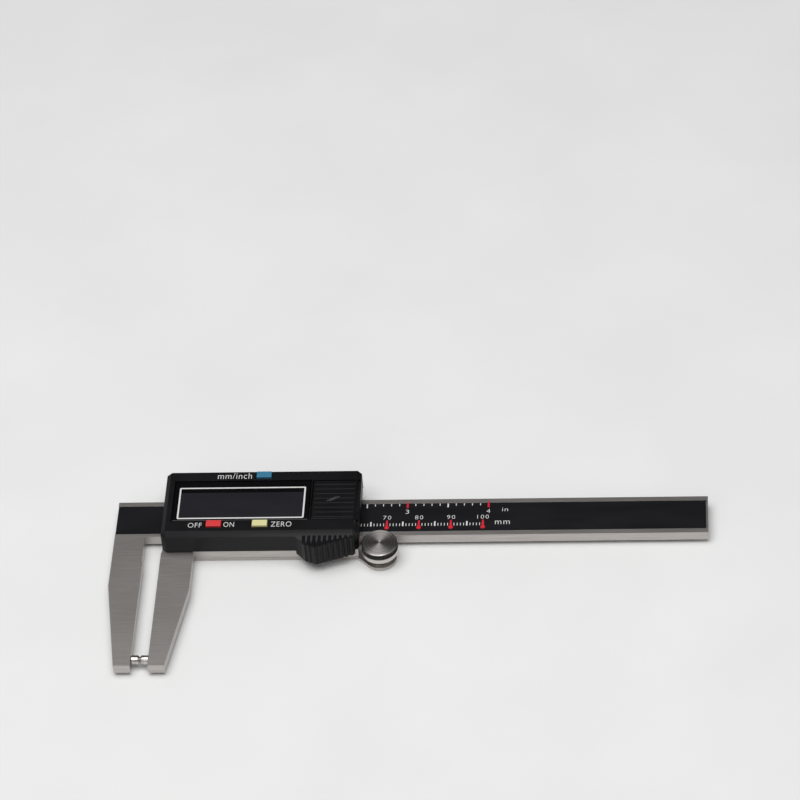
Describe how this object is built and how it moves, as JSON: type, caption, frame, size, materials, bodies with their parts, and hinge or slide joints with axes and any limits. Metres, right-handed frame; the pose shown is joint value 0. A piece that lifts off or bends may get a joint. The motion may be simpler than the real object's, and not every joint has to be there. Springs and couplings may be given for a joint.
{
  "type": "digital caliper",
  "caption": "Digital caliper with long plain jaws and round contact pins, a sliding display housing with press buttons, a lock screw and a thumb roller on a graduated steel beam.",
  "frame": {"origin": "under the middle of the whole box, on the flat surface that the slider's back plate rests on, with the jaws closed", "axes": "+X along the beam from the jaws to the free end, +Y across the beam away from the jaws, +Z out of the display"},
  "size_m": [0.1852, 0.0794, 0.0132],
  "materials": {
    "ground_steel": "ground satin stainless steel with a fine grain across the jaws",
    "turned_steel": "bright turned and knurled steel",
    "screw_steel": "plain steel",
    "cell_steel": "bright plated can",
    "bronze": "rolled bronze strip",
    "gold_plate": "plated copper",
    "black_plastic": "satin moulded plastic",
    "window_plastic": "polished, printed behind",
    "label_film": "satin printed film",
    "board_green": "solder mask on glass-epoxy board",
    "chip_black": "moulded epoxy",
    "lcd_grey": "polarised display glass",
    "carrier_white": "moulded plastic",
    "rubber_grey": "silicone rubber",
    "blue_plastic": "satin moulded plastic",
    "red_plastic": "satin moulded plastic",
    "yellow_plastic": "satin moulded plastic"
  },
  "bodies": {
    "beam": {"beam": "ground_steel", "stator_strip": "gold_plate", "scale_label": "label_film", "fixed_contact_pin": "turned_steel", "end_stop": "ground_steel", "end_stop_screw": "screw_steel"},
    "slider": {"slider_frame": "ground_steel", "moving_contact_pin": "turned_steel", "gib_strip": "bronze", "gib_screw_1": "screw_steel", "gib_screw_2": "screw_steel", "back_plate": "ground_steel", "back_plate_screw_1": "screw_steel", "back_plate_screw_2": "screw_steel", "back_plate_screw_3": "screw_steel", "back_plate_screw_4": "screw_steel", "housing": "black_plastic", "housing_screw_1": "screw_steel", "housing_screw_2": "screw_steel", "housing_screw_3": "screw_steel", "housing_screw_4": "screw_steel", "display_window": "window_plastic", "lcd_glass": "lcd_grey", "lcd_carrier": "carrier_white", "zebra_strip": "rubber_grey", "circuit_board": "board_green", "controller_chip": "chip_black", "unit_button_pad": "rubber_grey", "power_button_pad": "rubber_grey", "zero_button_pad": "rubber_grey", "coin_cell": "cell_steel", "battery_contact_positive": "gold_plate", "battery_contact_negative": "gold_plate", "roller_axle": "screw_steel"},
    "thumb_roller": {"thumb_roller": "turned_steel"},
    "lock_screw": {"lock_screw": "turned_steel"},
    "battery_cover": {"battery_cover": "black_plastic"},
    "unit_button": {"unit_button": "blue_plastic"},
    "power_button": {"power_button": "red_plastic"},
    "zero_button": {"zero_button": "yellow_plastic"}
  },
  "joints": [
    {"name": "slider_travel", "type": "slide", "parent": "beam", "child": "slider", "axis": [1, 0, 0], "range_m": [0, 0.1]},
    {"name": "roller_turn", "type": "hinge", "parent": "slider", "child": "thumb_roller", "pos_m": [-0.00905, 0.00815, 0.0047], "axis": [0, 0, 1], "range_deg": [0, 1015]},
    {"name": "lock_turn", "type": "hinge", "parent": "slider", "child": "lock_screw", "pos_m": [-0.0466, 0.0377, 0.0031], "axis": [0, 1, 0], "range_deg": [-90, 270]},
    {"name": "cover_slide", "type": "slide", "parent": "slider", "child": "battery_cover", "axis": [1, 0, 0], "range_m": [0, 0.016]},
    {"name": "unit_press", "type": "slide", "parent": "slider", "child": "unit_button", "axis": [0, 0, -1], "range_m": [0, 0.0004], "stiffness_N_per_m": 1500},
    {"name": "power_press", "type": "slide", "parent": "slider", "child": "power_button", "axis": [0, 0, -1], "range_m": [0, 0.0004], "stiffness_N_per_m": 1500},
    {"name": "zero_press", "type": "slide", "parent": "slider", "child": "zero_button", "axis": [0, 0, -1], "range_m": [0, 0.0004], "stiffness_N_per_m": 1500}
  ],
  "couplings": [
    {"joint": "roller_turn", "follows": "slider_travel", "rad_per_m": 176.99}
  ]
}
